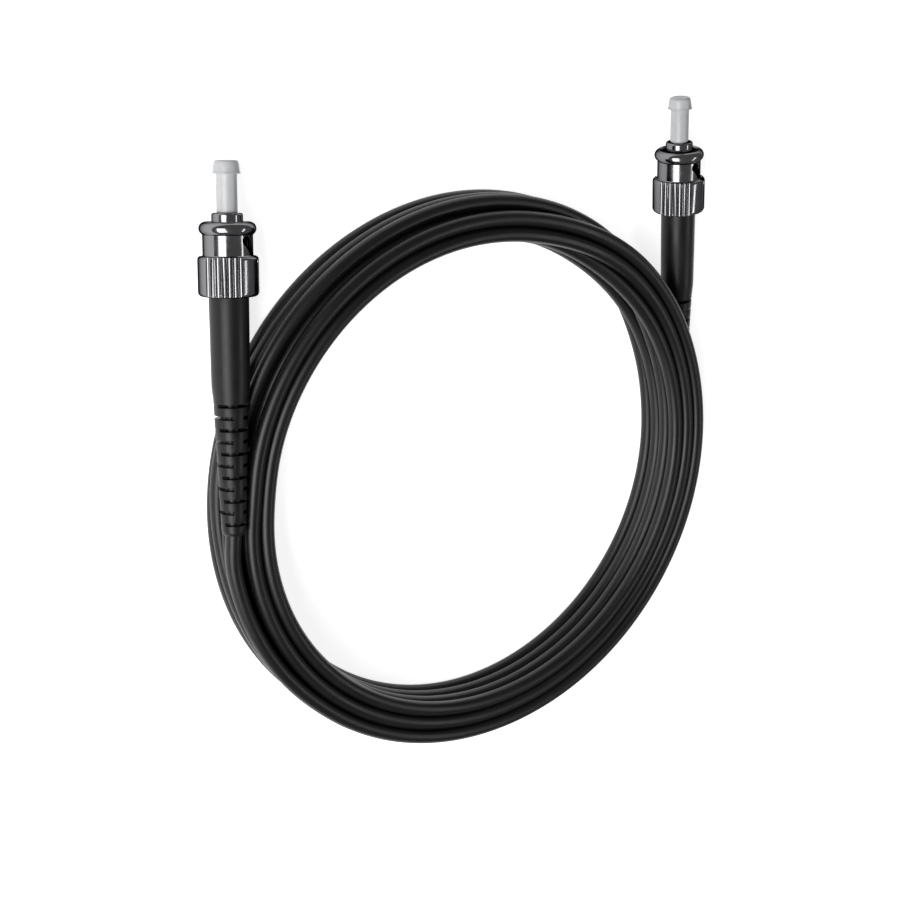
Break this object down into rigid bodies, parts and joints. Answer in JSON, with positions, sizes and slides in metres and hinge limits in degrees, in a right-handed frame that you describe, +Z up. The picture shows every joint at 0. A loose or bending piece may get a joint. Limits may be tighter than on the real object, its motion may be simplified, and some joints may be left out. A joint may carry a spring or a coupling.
{
  "type": "fibre optic patch lead with st connectors",
  "caption": "Coiled simplex fibre optic patch lead with a bayonet ST connector at each end: knurled coupling nut, slotted boot, ceramic ferrule under a clear dust cap.",
  "frame": {"origin": "on the plane that the lead lies on, below the middle of the box round both connectors, the cable left out", "axes": "+X from the near connector to the far one, +Y towards the ferrule tips, +Z up"},
  "size_m": [0.109, 0.1227, 0.0123],
  "materials": {
    "clear_cap": "soft clear polyethylene, slightly milky",
    "zirconia": "polished zirconia",
    "nickel_plate": "polished nickel plate",
    "spring_steel": "bright spring steel",
    "sleeve_brass": "satin",
    "buffer_plastic": "smooth",
    "boot_elastomer": "satin moulded elastomer",
    "cable_jacket": "satin extruded jacket"
  },
  "bodies": {
    "lead": {"near_plug_body": "nickel_plate", "near_ferrule": "zirconia", "near_spring": "spring_steel", "near_retaining_ring": "spring_steel", "near_crimp_sleeve": "sleeve_brass", "near_fibre": "buffer_plastic", "near_boot": "boot_elastomer", "far_plug_body": "nickel_plate", "far_ferrule": "zirconia", "far_spring": "spring_steel", "far_retaining_ring": "spring_steel", "far_crimp_sleeve": "sleeve_brass", "far_fibre": "buffer_plastic", "far_boot": "boot_elastomer", "near_cable_tail": "cable_jacket", "cable_coil": "cable_jacket", "far_cable_tail": "cable_jacket"},
    "near_cap": {"near_dust_cap": "clear_cap"},
    "near_washer": {"near_thrust_washer": "spring_steel"},
    "near_nut": {"near_coupling_nut": "nickel_plate"},
    "far_cap": {"far_dust_cap": "clear_cap"},
    "far_washer": {"far_thrust_washer": "spring_steel"},
    "far_nut": {"far_coupling_nut": "nickel_plate"}
  },
  "joints": [
    {"name": "near_cap_pull", "type": "slide", "parent": "lead", "child": "near_cap", "axis": [0, 0.9937, -0.1123], "range_m": [0, 0.012]},
    {"name": "near_nut_slide", "type": "slide", "parent": "lead", "child": "near_washer", "axis": [0, 0.9937, -0.1123], "range_m": [0, 0.0018], "stiffness_N_per_m": 1500, "springref_m": -0.0004, "deforming": ["near_spring"]},
    {"name": "near_nut_turn", "type": "hinge", "parent": "near_washer", "child": "near_nut", "pos_m": [-0.04954, 0.00794, 0.00534], "axis": [0, 0.9937, -0.1123], "continuous": true},
    {"name": "far_cap_pull", "type": "slide", "parent": "lead", "child": "far_cap", "axis": [-0.1648, 0.9845, 0.06], "range_m": [0, 0.012]},
    {"name": "far_nut_slide", "type": "slide", "parent": "lead", "child": "far_washer", "axis": [-0.1648, 0.9845, 0.06], "range_m": [0, 0.0018], "stiffness_N_per_m": 1500, "springref_m": -0.0004, "deforming": ["far_spring"]},
    {"name": "far_nut_turn", "type": "hinge", "parent": "far_washer", "child": "far_nut", "pos_m": [0.04523, 0.02007, 0.00525], "axis": [-0.1648, 0.9845, 0.06], "continuous": true}
  ]
}
